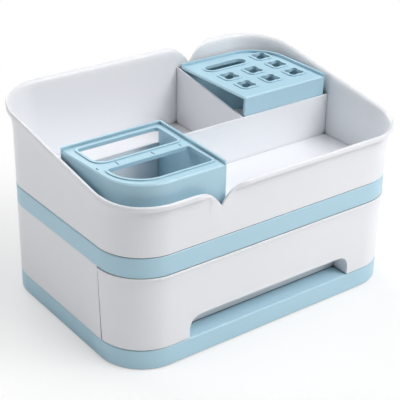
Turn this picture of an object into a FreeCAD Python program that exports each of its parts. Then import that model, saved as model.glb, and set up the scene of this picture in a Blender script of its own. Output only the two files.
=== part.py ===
import FreeCAD, Part
import math
import os

from FreeCAD import Vector

os.makedirs("parts", exist_ok=True)

# Desk organizer in stacked levels: a base on rubber feet, a housing with a wide drawer,
# a deck, and a lift-off tray with a sloped rim that holds two lift-out racks.
# Millimetres. X runs along the front, Y to the back, Z up.
# The origin is the centre of the footprint, on the surface the feet stand on.

# Body outline, shared by all levels
body_length = 300.0
body_depth = 208.0
corner_radius = 42.0

# Level heights
foot_stand = 1.0
base_height = 17.7
housing_height = 69.3
deck_height = 17.7

# Wall thicknesses
shell_wall = 2.2
rib_thickness = 1.8
edge_bevel = 0.7

# Rubber feet
foot_width = 14.0
foot_bevel = 0.8
foot_recess_depth = 1.3
foot_recess_gap = 0.3
foot_boss_wall = 2.0
foot_inset_x = 34.0
foot_inset_y = 30.0

# Base
base_rib_depth = 9.0
base_rib_positions_x = [-75.0, 75.0]
base_rib_positions_y = [0.0]
ridge_thickness = 1.6
ridge_height = 2.4
ridge_gap = 0.3
ridge_front_y = -20.0
runner_width = 6.0
runner_height = 0.8
runner_spacing = 230.0
runner_front_y = -78.0
runner_back_y = 88.0

# Seam between the drawer front and the housing, on both sides
seam_top_y = -59.9
seam_bottom_y = -63.4
seam_gap_top = 0.35
seam_gap_bottom = 1.2

# Housing
tongue_thickness = 1.6
tongue_rise = 3.0
tongue_root = 5.0
tongue_gap = 0.3
bump_length = 3.0
bump_reach = 1.5
bump_low_above_base = 53.0
bump_height = 6.0

# Drawer
drawer_travel = 110.0
drawer_top_gap = 0.6
drawer_front_wall = 2.5
drawer_top_flange = 2.2
drawer_lip_height = 2.7
drawer_lip_reach = 1.0
drawer_lip_bevel = 0.4
drawer_box_side_gap = 0.8
drawer_box_wall = 2.0
drawer_box_floor = 2.0
drawer_box_height = 62.0
drawer_box_front_y = -84.0
drawer_box_corner = 6.0
drawer_box_floor_bevel = 2.0
drawer_front_side_gap = 0.3
drawer_front_corner_ease = 1.0
drawer_rib_positions_x = [-118.0, -60.0, 0.0, 60.0, 118.0]
stop_tab_length = 4.0
stop_tab_reach = 2.0
stop_tab_front_y = 57.0
stop_gap = 0.3

# Finger recess in the drawer front
recess_length = 178.0
recess_height = 20.6
recess_depth = 18.0
recess_corner = 12.0
recess_wall = 2.0

# Deck
deck_band = 12.0
deck_dish_depth = 3.0
deck_rib_depth = 6.0
deck_rib_positions_x = [-70.0, 70.0]

# Tray
tray_groove_height = 0.9
tray_groove_depth = 1.8
tray_floor = 2.0
tray_key_gap = 0.5
tray_key_thickness = 2.0
tray_key_depth = 2.6
tray_key_end = 50.0
front_rim_height = 153.0
back_rim_height = 184.6
rim_slope_start_y = -88.0
rim_slope_blend = 8.0
wall_flare = 1.5
flare_drop = 24.0
lip_reach = 4.8
lip_height = 4.5
crest_reach = 3.5
tray_wall_low = 2.4
tray_wall_high = 2.2

# Pointed notches in the rim, one in front and one turned half round at the back
notch_x = 60.0
notch_half_width = 28.5
notch_depth = 18.0
notch_curve = 2.4
lip_fade_near = 8.0
lip_fade_far = 24.0

# Dividers of the tray
divider_thickness = 2.0
long_divider_top = 148.6

# Racks
rack_gap = 0.3
rack_outer_gap = 3.0
rack_wall = 2.0
rack_panel = 2.2
rack_panel_top = 167.0
rack_rim_top = 169.5
rack_rim_thickness = 2.0
rack_outer_corner = 38.0
rack_small_corner = 1.5
rack_edge_bevel = 1.1
collar_width = 2.2
collar_rise = 1.0

# Brush rack; its sides lean in towards the front
brush_rack_side_gap = 1.2
brush_rack_length = 99.0
brush_rack_left_lean = 5.0
brush_rack_right_lean = 3.3

# Brush rack slots, with the bar between them; insets are from the rack's left and front
brush_slot_inset = 10.4
brush_slot_length = 79.0
front_slot_inset = 10.1
front_slot_width = 33.2
front_slot_corner = 29.0
brush_bar_width = 13.3
back_slot_margin = 8.2
back_slot_corner = 10.0
slot_small_corner = 3.0
bar_groove_width = 0.9
bar_groove_depth = 0.8
bar_grooves = [(5.8, 4.0), (24.4, 6.0), (58.4, 6.0), (85.4, 4.0)]

# Lipstick rack; its left side leans out towards the back
lipstick_rack_side_gap = 3.1
lipstick_rack_length = 96.9
lipstick_rack_left_lean = 1.6

# Lipstick rack holes; insets are from the rack's right and front
lobe_radius = 3.25
lobe_offset = 6.05
hole_waist = 6.5
hole_column_insets = [76.2, 47.3, 18.1]
hole_row_insets = [24.2, 49.5]
single_hole_inset_x = 17.3
single_hole_inset_y = 74.9
stadium_inset_x = 61.0
stadium_inset_y = 75.2
stadium_length = 47.0
stadium_width = 12.5

# Levels that follow from the heights
base_bottom = foot_stand
base_top = base_bottom + base_height
housing_top = base_top + housing_height
deck_top = housing_top + deck_height
drawer_bottom = base_top + runner_height
drawer_top = housing_top - drawer_top_gap
tray_bottom = deck_top
tray_floor_top = tray_bottom + tray_floor
half_length = body_length / 2
half_depth = body_depth / 2
ridge_offset = -(shell_wall + ridge_gap)
drawer_box_offset = ridge_offset - ridge_thickness - drawer_box_side_gap
tray_inner_x = half_length - tray_wall_low
tray_inner_y = half_depth - tray_wall_low
rack_inner_y = divider_thickness / 2 + rack_gap
beyond = 2 * body_length


# Plain shapes

def box(x0, x1, y0, y1, z0, z1):
    return Part.makeBox(x1 - x0, y1 - y0, z1 - z0, Vector(x0, y0, z0))


def square_pad(x, y, z0, z1, width):
    half = width / 2
    return box(x - half, x + half, y - half, y + half, z0, z1)


def rounded_outline(corners, z):
    # Closed outline through corner points (x, y, radius), each corner an arc
    arcs = []
    for index, (x, y, radius) in enumerate(corners):
        corner = Vector(x, y, z)
        before = Vector(corners[index - 1][0], corners[index - 1][1], z) - corner
        following = corners[(index + 1) % len(corners)]
        after = Vector(following[0], following[1], z) - corner
        before.normalize()
        after.normalize()
        half_angle = before.getAngle(after) / 2
        inward = before + after
        inward.normalize()
        reach = radius / math.tan(half_angle)
        sagitta = radius / math.sin(half_angle) - radius
        arcs.append((corner + before * reach, corner + inward * sagitta, corner + after * reach))
    edges = []
    for index, (first, middle, last) in enumerate(arcs):
        edges.append(Part.Arc(first, middle, last).toShape())
        following = arcs[(index + 1) % len(arcs)][0]
        if last.distanceToPoint(following) > 0.001:
            edges.append(Part.makeLine(last, following))
    return Part.Wire(edges)


def rounded_wire(x0, x1, y0, y1, z, radii):
    # Rectangle with its own radius at each corner:
    # front left, front right, back right, back left
    front_left, front_right, back_right, back_left = radii
    corners = [
        (x0, y0, front_left),
        (x1, y0, front_right),
        (x1, y1, back_right),
        (x0, y1, back_left),
    ]
    return rounded_outline(corners, z)


def rounded_block(x0, x1, y0, y1, z0, z1, radii):
    face = Part.Face(rounded_wire(x0, x1, y0, y1, z0, radii))
    return face.extrude(Vector(0, 0, z1 - z0))


def body_block(offset, z0, z1):
    # Block over the body outline, grown or shrunk by the offset
    reach_x = half_length + offset
    reach_y = half_depth + offset
    radius = corner_radius + offset
    return rounded_block(-reach_x, reach_x, -reach_y, reach_y, z0, z1, [radius] * 4)


def body_ring(outer_offset, inner_offset, z0, z1):
    return body_block(outer_offset, z0, z1).cut(body_block(inner_offset, z0, z1))


def edges_at_height(shape, z):
    found = []
    for edge in shape.Edges:
        bounds = edge.BoundBox
        if abs(bounds.ZMin - z) < 0.001 and abs(bounds.ZMax - z) < 0.001:
            found.append(edge)
    return found


def joined(first, others):
    return first.fuse(others).removeSplitter()


def save(shape, node):
    shape.exportStep("parts/" + node + ".step")


# Wedges that share the seam between the drawer front and the housing

def seam_wedge(top_y, bottom_y, front):
    # Everything in front of, or behind, a plane that leans along the seam
    far_y = -beyond if front else beyond
    lean = (top_y - bottom_y) / housing_height
    low = base_top - housing_height
    high = housing_top + housing_height
    low_y = bottom_y - lean * housing_height
    high_y = top_y + lean * housing_height
    corners = [
        Vector(-beyond, low_y, low),
        Vector(-beyond, high_y, high),
        Vector(-beyond, far_y, high),
        Vector(-beyond, far_y, low),
    ]
    face = Part.Face(Part.makePolygon(corners + corners[:1]))
    return face.extrude(Vector(2 * beyond, 0, 0))


# Rubber feet: square pads with bevelled soles

def foot_places():
    reach_x = half_length - foot_inset_x
    reach_y = half_depth - foot_inset_y
    return {
        "foot_front_left": (-reach_x, -reach_y),
        "foot_front_right": (reach_x, -reach_y),
        "foot_rear_left": (-reach_x, reach_y),
        "foot_rear_right": (reach_x, reach_y),
    }


def make_foot(x, y):
    pad = square_pad(x, y, 0.0, base_bottom + foot_recess_depth, foot_width)
    return pad.makeChamfer(foot_bevel, edges_at_height(pad, 0.0))


# Base: a shallow moulded shell, open below, with a ridge that centres the housing's back

def make_base():
    shell = body_block(0.0, base_bottom, base_top)
    shell = shell.makeChamfer(edge_bevel, edges_at_height(shell, base_top))
    plate_underside = base_top - shell_wall
    shell = shell.cut(body_block(-shell_wall, base_bottom, plate_underside))
    added = []
    inner_x = half_length - shell_wall
    inner_y = half_depth - shell_wall
    rib_low = plate_underside - base_rib_depth
    for x in base_rib_positions_x:
        half = rib_thickness / 2
        added.append(box(x - half, x + half, -inner_y, inner_y, rib_low, plate_underside))
    for y in base_rib_positions_y:
        half = rib_thickness / 2
        added.append(box(-inner_x, inner_x, y - half, y + half, rib_low, plate_underside))
    recess_width = foot_width + 2 * foot_recess_gap
    boss_width = recess_width + 2 * foot_boss_wall
    for x, y in foot_places().values():
        added.append(square_pad(x, y, base_bottom, plate_underside, boss_width))
    ridge = body_ring(ridge_offset, ridge_offset - ridge_thickness, base_top, base_top + ridge_height)
    ridge = ridge.cut(box(-half_length, half_length, -half_depth, ridge_front_y,
                          base_top, base_top + ridge_height))
    added.append(ridge)
    for side in (-1, 1):
        centre = side * runner_spacing / 2
        half = runner_width / 2
        runner = box(centre - half, centre + half, runner_front_y, runner_back_y,
                     base_top, base_top + runner_height)
        added.append(runner)
    base = joined(shell, added)
    for x, y in foot_places().values():
        recess_top = base_bottom + foot_recess_depth
        base = base.cut(square_pad(x, y, base_bottom, recess_top, recess_width))
    return base


# Housing: both sides and the back in one wall, with a tongue that holds the deck

def make_housing():
    wall = body_ring(0.0, -shell_wall, base_top, housing_top)
    root = body_ring(-shell_wall, -(shell_wall + tongue_gap + tongue_thickness),
                     housing_top - tongue_root, housing_top)
    outer = -(shell_wall + tongue_gap)
    tongue = body_ring(outer, outer - tongue_thickness,
                       housing_top - tongue_root, housing_top + tongue_rise)
    shape = joined(wall, [root, tongue])
    shape = shape.cut(seam_wedge(seam_top_y, seam_bottom_y, True))
    bump_low = base_top + bump_low_above_base
    bump_back_y = stop_tab_front_y - drawer_travel - stop_gap
    inner_x = half_length - shell_wall
    bumps = []
    for side in (-1, 1):
        x0 = min(side * inner_x, side * (inner_x - bump_reach))
        x1 = max(side * inner_x, side * (inner_x - bump_reach))
        bumps.append(box(x0, x1, bump_back_y - bump_length, bump_back_y,
                         bump_low, bump_low + bump_height))
    return joined(shape, bumps)


# Deck: a skirted cap with a shallow dish that centres the tray

def make_deck():
    cap = body_block(0.0, housing_top, deck_top)
    cap = cap.makeChamfer(edge_bevel, edges_at_height(cap, deck_top))
    dish_floor = deck_top - deck_dish_depth
    plate_underside = dish_floor - shell_wall
    cap = cap.cut(body_block(-deck_band, dish_floor, deck_top))
    cap = cap.cut(body_block(-shell_wall, housing_top, plate_underside))
    band_pocket = body_ring(-shell_wall, -(deck_band - shell_wall),
                            plate_underside, deck_top - shell_wall)
    cap = cap.cut(band_pocket)
    ribs = []
    inner_x = half_length - deck_band
    inner_y = half_depth - deck_band
    half = rib_thickness / 2
    rib_low = plate_underside - deck_rib_depth
    for x in deck_rib_positions_x:
        ribs.append(box(x - half, x + half, -inner_y, inner_y, rib_low, plate_underside))
    ribs.append(box(-inner_x, inner_x, -half, half, rib_low, plate_underside))
    return joined(cap, ribs)


# Drawer front: wraps both front corners, with a lip on top and a finger recess below

def recess_block(extra, front_y, back_y, z0):
    half = recess_length / 2 + extra
    top = base_top + recess_height + extra
    radius = recess_corner + extra
    corners = [
        Vector(-half, front_y, z0),
        Vector(-half, front_y, top - radius),
        Vector(-half + radius, front_y, top),
        Vector(half - radius, front_y, top),
        Vector(half, front_y, top - radius),
        Vector(half, front_y, z0),
    ]
    corner_share = radius * (1 - math.sqrt(0.5))
    left_middle = Vector(-half + corner_share, front_y, top - corner_share)
    right_middle = Vector(half - corner_share, front_y, top - corner_share)
    edges = [
        Part.makeLine(corners[0], corners[1]),
        Part.Arc(corners[1], left_middle, corners[2]).toShape(),
        Part.makeLine(corners[2], corners[3]),
        Part.Arc(corners[3], right_middle, corners[4]).toShape(),
        Part.makeLine(corners[4], corners[5]),
        Part.makeLine(corners[5], corners[0]),
    ]
    return Part.Face(Part.Wire(edges)).extrude(Vector(0, back_y - front_y, 0))


def drawer_box_space(inset, z0, z1):
    # Room the drawer box takes, or with an inset the room inside its walls
    reach_x = half_length + drawer_box_offset - inset
    reach_y = half_depth + drawer_box_offset - inset
    radius = corner_radius + drawer_box_offset - inset
    front = drawer_box_corner - inset
    return rounded_block(-reach_x, reach_x, drawer_box_front_y + inset, reach_y,
                         z0, z1, [front, front, radius, radius])


def drawer_box_seat():
    # The drawer front bears on the box's front wall and keeps clear of its sides
    reach_x = half_length + drawer_box_offset + drawer_front_side_gap
    corner = drawer_box_corner - drawer_front_corner_ease
    return rounded_block(-reach_x, reach_x, drawer_box_front_y, half_depth,
                         drawer_bottom, drawer_top, [corner] * 4)


def make_drawer_front():
    top_y = seam_top_y - seam_gap_top
    bottom_y = seam_bottom_y - seam_gap_bottom
    outside = body_block(0.0, drawer_bottom, drawer_top)
    lip = body_block(drawer_lip_reach, drawer_top - drawer_lip_height, drawer_top)
    lip = lip.makeChamfer(drawer_lip_bevel, edges_at_height(lip, drawer_top))
    outside = joined(outside, [lip])
    hollow = body_block(-drawer_front_wall, drawer_bottom, drawer_top - drawer_top_flange)
    ribs = []
    half = rib_thickness / 2
    for x in drawer_rib_positions_x:
        rib = box(x - half, x + half, -half_depth, drawer_box_front_y,
                  drawer_bottom, drawer_top)
        ribs.append(rib.common(outside))
    recess_back_y = -half_depth + recess_depth
    pocket_back_y = recess_back_y + recess_wall
    pocket = recess_block(recess_wall, -half_depth, pocket_back_y, drawer_bottom)
    front = joined(outside.cut(hollow), ribs + [pocket])
    front = front.cut(recess_block(0.0, -beyond, recess_back_y, drawer_bottom))
    front = front.cut(drawer_box_seat())
    return front.cut(seam_wedge(top_y, bottom_y, False))


# Drawer box: an open tray that slides on the runners, with two stop tabs

def make_drawer_box():
    box_top = drawer_bottom + drawer_box_height
    shape = drawer_box_space(0.0, drawer_bottom, box_top)
    inside = drawer_box_space(drawer_box_wall, drawer_bottom + drawer_box_floor, box_top)
    floor_edges = edges_at_height(inside, drawer_bottom + drawer_box_floor)
    inside = inside.makeChamfer(drawer_box_floor_bevel, floor_edges)
    shape = shape.cut(inside)
    tabs = []
    outer_x = half_length + drawer_box_offset
    tab_low = base_top + bump_low_above_base
    for side in (-1, 1):
        x0 = min(side * outer_x, side * (outer_x + stop_tab_reach))
        x1 = max(side * outer_x, side * (outer_x + stop_tab_reach))
        tabs.append(box(x0, x1, stop_tab_front_y, stop_tab_front_y + stop_tab_length,
                        tab_low, tab_low + bump_height))
    return joined(shape, tabs)


# Tray wall: strips between level lines that follow the rim round the outline

def rim_height(y):
    # Level in front, then a straight slope up to the back, with a soft turn between
    slope = (back_rim_height - front_rim_height) / (half_depth - rim_slope_start_y)
    rise = y - rim_slope_start_y
    return front_rim_height + slope * 0.5 * (rise + math.hypot(rise, rim_slope_blend))


def lip_share(distance):
    # How much of the lip is left at a distance from a notch tip
    share = (distance - lip_fade_near) / (lip_fade_far - lip_fade_near)
    share = min(max(share, 0.0), 1.0)
    return share * share * (3 - 2 * share)


def straight_part(x0, y0, x1, y1, nx, ny):
    def station(share):
        x = x0 + (x1 - x0) * share
        y = y0 + (y1 - y0) * share
        return x, y, nx, ny, rim_height(y), 1.0
    return station, [0.0, 1.0]


def corner_part(cx, cy, start):
    def station(share):
        turn = math.radians(start + 90.0 * share)
        nx = math.cos(turn)
        ny = math.sin(turn)
        x = cx + corner_radius * nx
        y = cy + corner_radius * ny
        return x, y, nx, ny, rim_height(y), 1.0
    return station, [index / 6 for index in range(7)]


def notch_part(tip_x, side_y, first_u, last_u, along):
    # One flank of a notch; u is the signed distance from the tip in the walking direction
    def station(share):
        u = first_u + (last_u - first_u) * share
        distance = abs(u)
        drop = notch_depth * (1 - distance / notch_half_width) ** notch_curve
        crest = rim_height(side_y) - drop
        ny = 1.0 if side_y > 0 else -1.0
        return tip_x + along * u, side_y, 0.0, ny, crest, lip_share(distance)
    return station, [index / 4 for index in range(5)]


def outline_parts():
    cx = half_length - corner_radius
    cy = half_depth - corner_radius
    w = notch_half_width
    front_tip = -notch_x
    back_tip = notch_x
    return [
        straight_part(-cx, -half_depth, front_tip - w, -half_depth, 0.0, -1.0),
        notch_part(front_tip, -half_depth, -w, 0.0, 1.0),
        notch_part(front_tip, -half_depth, 0.0, w, 1.0),
        straight_part(front_tip + w, -half_depth, cx, -half_depth, 0.0, -1.0),
        corner_part(cx, -cy, 270.0),
        straight_part(half_length, -cy, half_length, cy, 1.0, 0.0),
        corner_part(cx, cy, 0.0),
        straight_part(cx, half_depth, back_tip + w, half_depth, 0.0, 1.0),
        notch_part(back_tip, half_depth, -w, 0.0, -1.0),
        notch_part(back_tip, half_depth, 0.0, w, -1.0),
        straight_part(back_tip - w, half_depth, -cx, half_depth, 0.0, 1.0),
        corner_part(-cx, cy, 90.0),
        straight_part(-half_length, cy, -half_length, -cy, -1.0, 0.0),
        corner_part(-cx, -cy, 180.0),
    ]


def rim_levels():
    # Each level line: (out, height) for a fixed height, or for a line that follows
    # the rim (out, down) without the lip and (out, down) with the full lip.
    inner = wall_flare - tray_wall_high
    return [
        ("fixed", (-tray_groove_depth, tray_bottom)),
        ("fixed", (0.0, tray_bottom + tray_groove_height)),
        ("rim", (0.0, flare_drop), (0.0, flare_drop)),
        ("rim", (wall_flare, 3.0), (wall_flare, lip_height + 0.6)),
        ("rim", (wall_flare, 2.0), (lip_reach, lip_height - 0.2)),
        ("rim", (wall_flare, 0.8), (lip_reach, 1.0)),
        ("rim", (wall_flare - 0.3, 0.2), (lip_reach - 0.7, 0.15)),
        ("rim", (wall_flare - 1.1, 0.0), (crest_reach - 0.2, 0.0)),
        ("rim", (inner + 0.3, 0.2), (crest_reach - 1.9, 0.8)),
        ("rim", (inner, 0.8), (crest_reach - 3.2, 2.7)),
        ("rim", (inner, 3.0), (inner, 7.0)),
        ("rim", (-tray_wall_low, flare_drop), (-tray_wall_low, flare_drop)),
        ("fixed", (-tray_wall_low, tray_floor_top)),
        ("fixed", (-tray_wall_low, tray_bottom)),
    ]


def level_point(station, level):
    x, y, nx, ny, crest, lip = station
    if level[0] == "fixed":
        out, z = level[1]
    else:
        plain, flared = level[1], level[2]
        out = plain[0] + lip * (flared[0] - plain[0])
        z = crest - plain[1] - lip * (flared[1] - plain[1])
    return Vector(x + nx * out, y + ny * out, z)


def level_curve(part, level):
    # A level line over one part of the outline: a line, an arc or a smooth curve
    station, shares = part
    points = [level_point(station(share), level) for share in shares]
    start = station(0.0)
    end = station(1.0)
    turns = (start[2], start[3]) != (end[2], end[3])
    if level[0] == "fixed" and turns:
        return Part.Arc(points[0], points[len(points) // 2], points[-1])
    if level[0] == "fixed" or len(points) == 2:
        return Part.LineSegment(points[0], points[-1])
    curve = Part.BSplineCurve()
    curve.interpolate(Points=points)
    return curve


def strip(lower, upper):
    # Flat where both level lines lie in one plane, otherwise ruled from line to line
    sides = [
        Part.makeLine(lower.StartPoint, upper.StartPoint),
        Part.makeLine(lower.EndPoint, upper.EndPoint),
    ]
    outline = Part.Wire(Part.__sortEdges__([lower.toShape(), upper.toShape()] + sides))
    if outline.findPlane() is not None:
        return Part.Face(outline)
    return lower.makeRuledSurface(upper).toShape()


def make_tray_wall():
    levels = rim_levels()
    faces = []
    bottom_outer = []
    bottom_inner = []
    for part in outline_parts():
        curves = [level_curve(part, level) for level in levels]
        for lower, upper in zip(curves, curves[1:]):
            faces.append(strip(lower, upper))
        bottom_outer.append(curves[0].toShape())
        bottom_inner.append(curves[-1].toShape())
    underside = Part.Face(Part.Wire(bottom_outer)).cut(Part.Face(Part.Wire(bottom_inner)))
    faces.extend(underside.Faces)
    shell = Part.makeShell(faces)
    shell.sewShape()
    solid = Part.makeSolid(shell)
    if solid.Volume < 0:
        solid.reverse()
    return solid


def make_tray():
    wall = make_tray_wall()
    half = divider_thickness / 2
    end_x = half_length - 0.7
    end_y = half_depth - 0.5
    floor_offset = -(tray_groove_depth + tray_wall_low) / 2
    floor = body_block(floor_offset, tray_bottom, tray_floor_top)
    keys = []
    key_x = half_length - deck_band - tray_key_gap
    key_y = half_depth - deck_band - tray_key_gap
    key_low = tray_bottom - tray_key_depth
    thick = tray_key_thickness
    for side in (-1, 1):
        x0 = min(side * key_x, side * (key_x - thick))
        y0 = min(side * key_y, side * (key_y - thick))
        keys.append(box(x0, x0 + thick, tray_key_end - key_y, key_y - tray_key_end,
                        key_low, tray_bottom))
        keys.append(box(tray_key_end - key_x, key_x - tray_key_end, y0, y0 + thick,
                        key_low, tray_bottom))
    long_divider = box(-end_x, end_x, -half, half, tray_bottom, long_divider_top)
    divider_right = lipstick_rack_corners(0.0, 0.0, 0.0, 0.0)[3][0] - rack_gap
    slope = (back_rim_height - front_rim_height) / (half_depth - rim_slope_start_y)
    corners = [
        Vector(divider_right - divider_thickness, 0.0, tray_bottom),
        Vector(divider_right - divider_thickness, end_y, tray_bottom),
        Vector(divider_right - divider_thickness, end_y, long_divider_top + slope * end_y),
        Vector(divider_right - divider_thickness, 0.0, long_divider_top),
    ]
    side_face = Part.Face(Part.makePolygon(corners + corners[:1]))
    back_divider = side_face.extrude(Vector(divider_thickness, 0, 0))
    return joined(wall, [floor, long_divider, back_divider] + keys)


# Racks: a panel on walls that stand on the tray floor

def collar(wire_at):
    # Raised collar round an opening; wire_at(z, grow) gives its outline
    low = rack_panel_top - rack_panel
    high = rack_panel_top + collar_rise
    block = Part.Face(wire_at(low, collar_width)).extrude(Vector(0, 0, high - low))
    return block


def cut_through(shape, wire_at):
    low = rack_panel_top - rack_panel
    high = rack_rim_top
    return shape.cut(Part.Face(wire_at(low, 0.0)).extrude(Vector(0, 0, high - low)))


def slot_outline(x0, x1, y0, y1, radii):
    def wire_at(z, grow):
        grown = [radius + grow for radius in radii]
        return rounded_wire(x0 - grow, x1 + grow, y0 - grow, y1 + grow, z, grown)
    return wire_at


def quatrefoil_outline(cx, cy):
    # Four lobes on the diagonals, joined by hollow arcs that touch them;
    # the collar round the hole is a rounded square over the lobes
    leg = lobe_offset * math.sqrt(0.5)
    gap = hole_waist - leg
    hollow = (leg * leg + gap * gap - lobe_radius * lobe_radius) / (2 * (lobe_radius - gap))
    share = lobe_radius / (lobe_radius + hollow)
    touch_x = leg + (hole_waist + hollow - leg) * share
    touch_y = leg - leg * share
    tip = leg + lobe_radius * math.sqrt(0.5)

    def turned(x, y, quarter, z):
        turn = math.radians(90.0 * quarter)
        return Vector(cx + x * math.cos(turn) - y * math.sin(turn),
                      cy + x * math.sin(turn) + y * math.cos(turn), z)

    def hole_wire(z):
        edges = []
        for quarter in range(4):
            waist = turned(hole_waist, 0.0, quarter, z)
            before = turned(touch_x, -touch_y, quarter, z)
            after = turned(touch_x, touch_y, quarter, z)
            lobe_tip = turned(tip, tip, quarter, z)
            next_touch = turned(touch_y, touch_x, quarter, z)
            edges.append(Part.Arc(before, waist, after).toShape())
            edges.append(Part.Arc(after, lobe_tip, next_touch).toShape())
        return Part.Wire(edges)

    def collar_wire(z, grow):
        radius = lobe_radius + grow
        reach = leg + radius
        return rounded_wire(cx - reach, cx + reach, cy - reach, cy + reach, z, [radius] * 4)

    def wire_at(z, grow):
        return collar_wire(z, grow) if grow > 0 else hole_wire(z)
    return wire_at


def leaning_corners(back_y, front_y, left, right, insets):
    # Plan of a rack; left and right give the side's place (at the front, at the back)
    inset_left, inset_right, inset_front, inset_back = insets

    def side(ends, y):
        share = (y - front_y) / (back_y - front_y)
        return ends[0] + (ends[1] - ends[0]) * share
    y0 = front_y + inset_front
    y1 = back_y - inset_back
    return [
        (side(left, y0) + inset_left, y0),
        (side(right, y0) - inset_right, y0),
        (side(right, y1) - inset_right, y1),
        (side(left, y1) + inset_left, y1),
    ]


def brush_rack_corners(*insets):
    back_left = -(tray_inner_x - brush_rack_side_gap)
    back_right = back_left + brush_rack_length
    left = (back_left + brush_rack_left_lean, back_left)
    right = (back_right - brush_rack_right_lean, back_right)
    front_y = -(tray_inner_y - rack_outer_gap)
    return leaning_corners(-rack_inner_y, front_y, left, right, insets)


def lipstick_rack_corners(*insets):
    right_x = tray_inner_x - lipstick_rack_side_gap
    front_left = right_x - lipstick_rack_length
    left = (front_left, front_left - lipstick_rack_left_lean)
    back_y = tray_inner_y - rack_outer_gap
    return leaning_corners(back_y, rack_inner_y, left, (right_x, right_x), insets)


def rack_block(corners, radii, z0, z1):
    outline = [(x, y, radius) for (x, y), radius in zip(corners, radii)]
    return Part.Face(rounded_outline(outline, z0)).extrude(Vector(0, 0, z1 - z0))


def rack_shell(corners_at, radii):
    # Walls and panel, with a rim standing above the panel on the right and at the back
    panel = rack_block(corners_at(0.0, 0.0, 0.0, 0.0), radii,
                       tray_floor_top, rack_panel_top)
    panel = panel.makeChamfer(rack_edge_bevel, edges_at_height(panel, rack_panel_top))
    rim = rack_block(corners_at(0.0, 0.0, 0.0, 0.0), radii,
                     tray_floor_top, rack_rim_top)
    outside = -2 * rack_outer_corner
    thick = rack_rim_thickness
    dish_radii = [rack_small_corner, rack_small_corner,
                  max(radii[2] - thick, rack_small_corner), rack_small_corner]
    dish = rack_block(corners_at(outside, thick, outside, thick), dish_radii,
                      tray_floor_top, rack_rim_top)
    shape = joined(panel, [rim.cut(dish)])
    wall = rack_wall
    inner_radii = [max(radius - wall, 0.5) for radius in radii]
    inside = rack_block(corners_at(wall, wall, wall, wall), inner_radii,
                        tray_floor_top, rack_panel_top - rack_panel)
    return shape.cut(inside)


def make_brush_rack():
    small = rack_small_corner
    radii = [rack_outer_corner, small, small, small]
    shape = rack_shell(brush_rack_corners, radii)
    left_x, front_y = brush_rack_corners(0.0, 0.0, 0.0, 0.0)[0]
    left_x -= brush_rack_left_lean
    wall = rack_wall
    back_left, back_right = brush_rack_corners(wall, wall, wall, 0.0)[3:1:-1]
    back_opening = box(back_left[0], back_right[0], back_left[1] - 2 * wall, back_left[1],
                       tray_floor_top, rack_panel_top - rack_panel)
    shape = shape.cut(back_opening)
    x0 = left_x + brush_slot_inset
    x1 = x0 + brush_slot_length
    front_slot = front_y + front_slot_inset
    bar = front_slot + front_slot_width
    back_slot = bar + brush_bar_width
    back_edge = back_left[1] - back_slot_margin
    slots = [
        slot_outline(x0, x1, back_slot, back_edge,
                     [back_slot_corner, slot_small_corner, slot_small_corner, slot_small_corner]),
        slot_outline(x0, x1, front_slot, bar,
                     [front_slot_corner, slot_small_corner, slot_small_corner, slot_small_corner]),
    ]
    shape = joined(shape, [collar(slot) for slot in slots])
    for slot in slots:
        shape = cut_through(shape, slot)
    bar_middle = bar + brush_bar_width / 2
    half = bar_groove_width / 2
    for inset, length in bar_grooves:
        x = left_x + inset
        groove = box(x - half, x + half, bar_middle - length / 2, bar_middle + length / 2,
                     rack_panel_top - bar_groove_depth, rack_rim_top)
        shape = shape.cut(groove)
    return shape


def make_lipstick_rack():
    small = rack_small_corner
    radii = [small, small, rack_outer_corner, small]
    shape = rack_shell(lipstick_rack_corners, radii)
    wall = rack_wall
    corners = lipstick_rack_corners(0.0, 0.0, 0.0, 0.0)
    front_left, right_x, back_left = corners[0], corners[1][0], corners[3]
    left_opening = box(back_left[0], front_left[0] + wall, front_left[1] + wall,
                       back_left[1] - wall, tray_floor_top, rack_panel_top - rack_panel)
    shape = shape.cut(left_opening)
    front_y = front_left[1]
    holes = [quatrefoil_outline(right_x - across, front_y + along)
             for across in hole_column_insets for along in hole_row_insets]
    holes.append(quatrefoil_outline(right_x - single_hole_inset_x,
                                    front_y + single_hole_inset_y))
    centre_x = right_x - stadium_inset_x
    centre_y = front_y + stadium_inset_y
    half_length_x = stadium_length / 2
    half_width = stadium_width / 2
    holes.append(slot_outline(centre_x - half_length_x, centre_x + half_length_x,
                              centre_y - half_width, centre_y + half_width,
                              [half_width] * 4))
    shape = joined(shape, [collar(hole) for hole in holes])
    for hole in holes:
        shape = cut_through(shape, hole)
    return shape


# All pieces

for foot_name, (foot_x, foot_y) in foot_places().items():
    save(make_foot(foot_x, foot_y), foot_name)
save(make_base(), "base_plate")
save(make_housing(), "housing_shell")
save(make_deck(), "deck_plate")
save(make_drawer_front(), "drawer_front")
save(make_drawer_box(), "drawer_box")
save(make_tray(), "upper_tray")
save(make_brush_rack(), "brush_rack")
save(make_lipstick_rack(), "lipstick_rack")
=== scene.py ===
import math

import bpy
from mathutils import Matrix, Vector

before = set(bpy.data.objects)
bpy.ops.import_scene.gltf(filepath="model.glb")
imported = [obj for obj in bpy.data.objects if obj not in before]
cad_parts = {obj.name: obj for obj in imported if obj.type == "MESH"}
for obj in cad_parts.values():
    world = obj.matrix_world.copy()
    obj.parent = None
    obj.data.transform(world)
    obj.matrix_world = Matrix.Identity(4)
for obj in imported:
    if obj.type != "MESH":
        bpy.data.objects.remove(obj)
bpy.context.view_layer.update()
MM = 0.001

# Camera, in degrees and millimetres of the row frame
CAMERA_PLACE = (-548.0, -718.0, 546.0)
CAMERA_YAW = 37.24
CAMERA_PITCH = 27.41
CAMERA_ROLL = 1.17
CAMERA_LENS = 100.04
SENSOR_WIDTH = 36.0
NEAREST_SEEN = 0.05
FARTHEST_SEEN = 50.0

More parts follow.
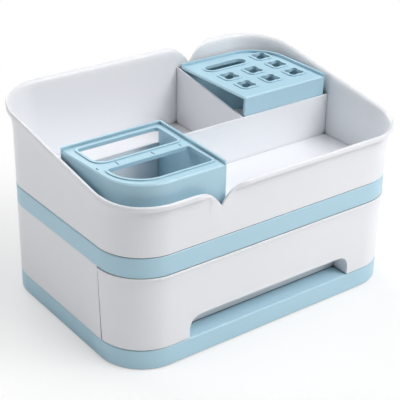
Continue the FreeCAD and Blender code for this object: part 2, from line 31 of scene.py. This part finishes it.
# Edges meeting at less than this angle, in degrees, are shaded as one surface
SMOOTH_ANGLE = 34.0
SAME_POINT = 0.002

# Softly rounded edges, in millimetres
EDGE_ROUND = 0.3
EDGE_SAMPLES = 6

# Painted shade: the colour is darkened in gaps and inner corners narrower than the reach, down to
# this share of the colour
CREVICE_REACH = 6.0
CREVICE_DARKEST_PAINTED_SHADE = 0.08
CREVICE_CLOSED = 0.12
CREVICE_OPEN = 0.6
CREVICE_SAMPLES = 8

# Grain of the moulded surface: noise scales per metre, shares and millimetres
BROAD_SCALE = 9.0
BROAD_DETAIL = 3.0
FINE_SCALE = 2600.0
FINE_DETAIL = 2.0
TONE_SPREAD = 0.015
GLOSS_SPREAD = 0.03
GRAIN_DEPTH = 0.02
PLASTIC_IOR = 1.47
COAT_ROUGHNESS = 0.12

# Finishes: linear colour, roughness, grain and coat
WHITE_PLASTIC = ((0.84, 0.85, 0.88), 0.33, 0.25, 0.12)
BLUE_PLASTIC = ((0.45, 0.675, 0.79), 0.38, 0.30, 0.08)
FOOT_RUBBER = ((0.17, 0.18, 0.19), 0.75, 0.6, 0.0)

# Where each finish goes
WHITE_NODES = ["housing_shell", "drawer_front", "drawer_box", "upper_tray"]
BLUE_NODES = ["base_plate", "deck_plate", "brush_rack", "lipstick_rack"]
RUBBER_NODES = ["foot_front_left", "foot_front_right", "foot_rear_left", "foot_rear_right"]

# Floor, in metres: partly white to the camera near the object, wholly so farther out
FLOOR_COLOUR = (0.93, 0.93, 0.93)
FLOOR_SIZE = 8.0
FLOOR_WHITE_NEAR = 0.45
FLOOR_FADE_FROM = 0.22
FLOOR_FADE_TO = 0.60

# Soft square lights: place, width and power; places and widths in metres, power in watts
LIGHT_AIM = (0.0, 0.0, 0.08)
LIGHTS = [
    ("key_front", (0.67, -1.38, 1.79), 1.2, 25.5),
    ("key_right", (1.28, -0.74, 1.84), 1.4, 16.0),
    ("fill_front_low", (1.28, -1.53, 1.23), 1.4, 6.0),
    ("fill_left", (-1.81, 0.59, 0.97), 1.4, 11.5),
    ("top", (0.20, 0.15, 2.20), 2.2, 13.0),
    ("rear", (0.27, 1.95, 1.46), 1.6, 25.0),
]
WHITE = (1.0, 1.0, 1.0, 1.0)
AMBIENT_COLOUR = (0.96, 0.98, 1.0, 1.0)
AMBIENT = 0.01


# Nodes of a material

def link(tree, source, target):
    tree.links.new(source, target)


def noise(tree, place, scale, detail):
    texture = tree.nodes.new("ShaderNodeTexNoise")
    texture.inputs["Scale"].default_value = scale
    texture.inputs["Detail"].default_value = detail
    link(tree, place, texture.inputs["Vector"])
    return texture.outputs["Fac"]


def ranged(tree, value, source_range, target_range, easing="LINEAR"):
    mapped = tree.nodes.new("ShaderNodeMapRange")
    mapped.interpolation_type = easing
    mapped.inputs["From Min"].default_value = source_range[0]
    mapped.inputs["From Max"].default_value = source_range[1]
    mapped.inputs["To Min"].default_value = target_range[0]
    mapped.inputs["To Max"].default_value = target_range[1]
    link(tree, value, mapped.inputs["Value"])
    return mapped.outputs["Result"]


def product(tree, first, second):
    multiply = tree.nodes.new("ShaderNodeMath")
    multiply.operation = "MULTIPLY"
    link(tree, first, multiply.inputs[0])
    link(tree, second, multiply.inputs[1])
    return multiply.outputs["Value"]


def painted_crevice_shade(tree):
    # Painted shade from ambient occlusion: 1 on open surfaces, less in narrow gaps and inner
    # corners
    crevice = tree.nodes.new("ShaderNodeAmbientOcclusion")
    crevice.samples = CREVICE_SAMPLES
    crevice.inputs["Distance"].default_value = CREVICE_REACH * MM
    return ranged(tree, crevice.outputs["AO"], (CREVICE_CLOSED, CREVICE_OPEN), (CREVICE_DARKEST_PAINTED_SHADE, 1.0))


def grained_normal(tree, grain_height, grain):
    # Rounded edges with the fine grain on top
    edges = tree.nodes.new("ShaderNodeBevel")
    edges.samples = EDGE_SAMPLES
    edges.inputs["Radius"].default_value = EDGE_ROUND * MM
    bump = tree.nodes.new("ShaderNodeBump")
    bump.inputs["Strength"].default_value = grain
    bump.inputs["Distance"].default_value = GRAIN_DEPTH * MM
    link(tree, grain_height, bump.inputs["Height"])
    link(tree, edges.outputs["Normal"], bump.inputs["Normal"])
    return bump.outputs["Normal"]


# Materials

def moulded(name, finish):
    colour, roughness, grain, coat = finish
    material = bpy.data.materials.new(name)
    material.use_nodes = True
    tree = material.node_tree
    shader = tree.nodes["Principled BSDF"]
    shader.inputs["IOR"].default_value = PLASTIC_IOR
    shader.inputs["Coat Weight"].default_value = coat
    shader.inputs["Coat Roughness"].default_value = COAT_ROUGHNESS
    place = tree.nodes.new("ShaderNodeTexCoord").outputs["Object"]
    broad = noise(tree, place, BROAD_SCALE, BROAD_DETAIL)
    fine = noise(tree, place, FINE_SCALE, FINE_DETAIL)
    tone = ranged(tree, broad, (0.0, 1.0), (1.0 - TONE_SPREAD, 1.0 + TONE_SPREAD))
    tint = tree.nodes.new("ShaderNodeVectorMath")
    tint.operation = "SCALE"
    tint.inputs[0].default_value = colour
    # Base colour is the finish colour times the random tone and the painted crevice shade
    link(tree, product(tree, tone, painted_crevice_shade(tree)), tint.inputs["Scale"])
    link(tree, tint.outputs["Vector"], shader.inputs["Base Color"])
    gloss = ranged(tree, broad, (0.0, 1.0), (roughness - GLOSS_SPREAD, roughness + GLOSS_SPREAD))
    link(tree, gloss, shader.inputs["Roughness"])
    link(tree, grained_normal(tree, fine, grain), shader.inputs["Normal"])
    return material


# Smooth shading over the strips of the CAD mesh, done by a modifier so the mesh stays as it is

def smoothing_group():
    group = bpy.data.node_groups.new("smooth_over_strips", "GeometryNodeTree")
    group.interface.new_socket("Geometry", in_out="INPUT", socket_type="NodeSocketGeometry")
    group.interface.new_socket("Geometry", in_out="OUTPUT", socket_type="NodeSocketGeometry")
    start = group.nodes.new("NodeGroupInput")
    end = group.nodes.new("NodeGroupOutput")
    bare = group.nodes.new("GeometryNodeRemoveAttribute")
    bare.inputs["Name"].default_value = "custom_normal"
    merge = group.nodes.new("GeometryNodeMergeByDistance")
    merge.inputs["Distance"].default_value = SAME_POINT * MM
    faces = group.nodes.new("GeometryNodeSetShadeSmooth")
    faces.domain = "FACE"
    faces.inputs["Shade Smooth"].default_value = True
    angle = group.nodes.new("GeometryNodeInputMeshEdgeAngle")
    gentle = group.nodes.new("FunctionNodeCompare")
    gentle.data_type = "FLOAT"
    gentle.operation = "LESS_THAN"
    gentle.inputs["B"].default_value = math.radians(SMOOTH_ANGLE)
    edges = group.nodes.new("GeometryNodeSetShadeSmooth")
    edges.domain = "EDGE"
    link(group, start.outputs[0], bare.inputs["Geometry"])
    link(group, bare.outputs["Geometry"], merge.inputs["Geometry"])
    link(group, merge.outputs["Geometry"], faces.inputs["Geometry"])
    link(group, faces.outputs["Geometry"], edges.inputs["Geometry"])
    link(group, angle.outputs["Unsigned Angle"], gentle.inputs["A"])
    link(group, gentle.outputs["Result"], edges.inputs["Shade Smooth"])
    link(group, edges.outputs["Geometry"], end.inputs[0])
    return group


def dress(nodes, material, group):
    for node in nodes:
        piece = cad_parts[node]
        piece.data.materials.clear()
        piece.data.materials.append(material)
        smoothing = piece.modifiers.new("smooth_over_strips", "NODES")
        smoothing.node_group = group


strips = smoothing_group()
dress(WHITE_NODES, moulded("white_plastic_look", WHITE_PLASTIC), strips)
dress(BLUE_NODES, moulded("blue_plastic_look", BLUE_PLASTIC), strips)
dress(RUBBER_NODES, moulded("foot_rubber_look", FOOT_RUBBER), strips)


# Floor and background

def floor_white_share(tree):
    # How much of the floor's look to the camera is plain white, by distance from the object
    place = tree.nodes.new("ShaderNodeNewGeometry")
    distance = tree.nodes.new("ShaderNodeVectorMath")
    distance.operation = "LENGTH"
    link(tree, place.outputs["Position"], distance.inputs[0])
    fade = ranged(tree, distance.outputs["Value"], (FLOOR_FADE_FROM, FLOOR_FADE_TO),
                  (FLOOR_WHITE_NEAR, 1.0), "SMOOTHSTEP")
    rays = tree.nodes.new("ShaderNodeLightPath")
    return product(tree, fade, rays.outputs["Is Camera Ray"])


def floor_material():
    material = bpy.data.materials.new("pale_floor")
    material.use_nodes = True
    tree = material.node_tree
    shader = tree.nodes["Principled BSDF"]
    shader.inputs["Base Color"].default_value = (*FLOOR_COLOUR, 1.0)
    shader.inputs["Roughness"].default_value = 1.0
    shader.inputs["Specular IOR Level"].default_value = 0.0
    white = tree.nodes.new("ShaderNodeEmission")
    white.inputs["Color"].default_value = WHITE
    white.inputs["Strength"].default_value = 1.0
    mix = tree.nodes.new("ShaderNodeMixShader")
    link(tree, floor_white_share(tree), mix.inputs["Fac"])
    link(tree, shader.outputs["BSDF"], mix.inputs[1])
    link(tree, white.outputs["Emission"], mix.inputs[2])
    link(tree, mix.outputs["Shader"], tree.nodes["Material Output"].inputs["Surface"])
    return material


def pale_floor():
    bpy.ops.mesh.primitive_plane_add(size=FLOOR_SIZE, location=(0.0, 0.0, 0.0))
    floor = bpy.context.object
    floor.name = "floor"
    floor.data.materials.append(floor_material())


def background(tree, colour, strength):
    shader = tree.nodes.new("ShaderNodeBackground")
    shader.inputs["Color"].default_value = colour
    shader.inputs["Strength"].default_value = strength
    return shader.outputs["Background"]


def white_surroundings():
    # White to the camera, a dim even light for everything else
    world = bpy.data.worlds.new("surroundings")
    bpy.context.scene.world = world
    world.use_nodes = True
    tree = world.node_tree
    tree.nodes.clear()
    rays = tree.nodes.new("ShaderNodeLightPath")
    mix = tree.nodes.new("ShaderNodeMixShader")
    output = tree.nodes.new("ShaderNodeOutputWorld")
    link(tree, rays.outputs["Is Camera Ray"], mix.inputs["Fac"])
    link(tree, background(tree, AMBIENT_COLOUR, AMBIENT), mix.inputs[1])
    link(tree, background(tree, WHITE, 1.0), mix.inputs[2])
    link(tree, mix.outputs["Shader"], output.inputs["Surface"])


def soft_light(name, place, width, power):
    data = bpy.data.lights.new(name, "AREA")
    data.shape = "RECTANGLE"
    data.size = width
    data.size_y = width
    data.energy = power
    light = bpy.data.objects.new(name, data)
    bpy.context.scene.collection.objects.link(light)
    light.location = place
    direction = Vector(LIGHT_AIM) - Vector(place)
    light.rotation_euler = direction.to_track_quat("-Z", "Y").to_euler()


pale_floor()
white_surroundings()
for light in LIGHTS:
    soft_light(*light)


# Camera

def photo_camera():
    yaw = math.radians(CAMERA_YAW)
    pitch = math.radians(CAMERA_PITCH)
    roll = math.radians(CAMERA_ROLL)
    ahead = Vector((math.sin(yaw) * math.cos(pitch), math.cos(yaw) * math.cos(pitch),
                    -math.sin(pitch)))
    right = Vector((math.cos(yaw), -math.sin(yaw), 0.0))
    up = right.cross(ahead)
    turned_right = right * math.cos(roll) + up * math.sin(roll)
    turned_up = up * math.cos(roll) - right * math.sin(roll)
    data = bpy.data.cameras.new("photo_camera")
    data.lens = CAMERA_LENS
    data.sensor_width = SENSOR_WIDTH
    data.clip_start = NEAREST_SEEN
    data.clip_end = FARTHEST_SEEN
    camera = bpy.data.objects.new("photo_camera", data)
    bpy.context.scene.collection.objects.link(camera)
    axes = Matrix((turned_right, turned_up, -ahead)).transposed().to_4x4()
    camera.matrix_world = Matrix.Translation(Vector(CAMERA_PLACE) * MM) @ axes
    bpy.context.scene.camera = camera


photo_camera()
bpy.context.scene.view_settings.view_transform = "Standard"
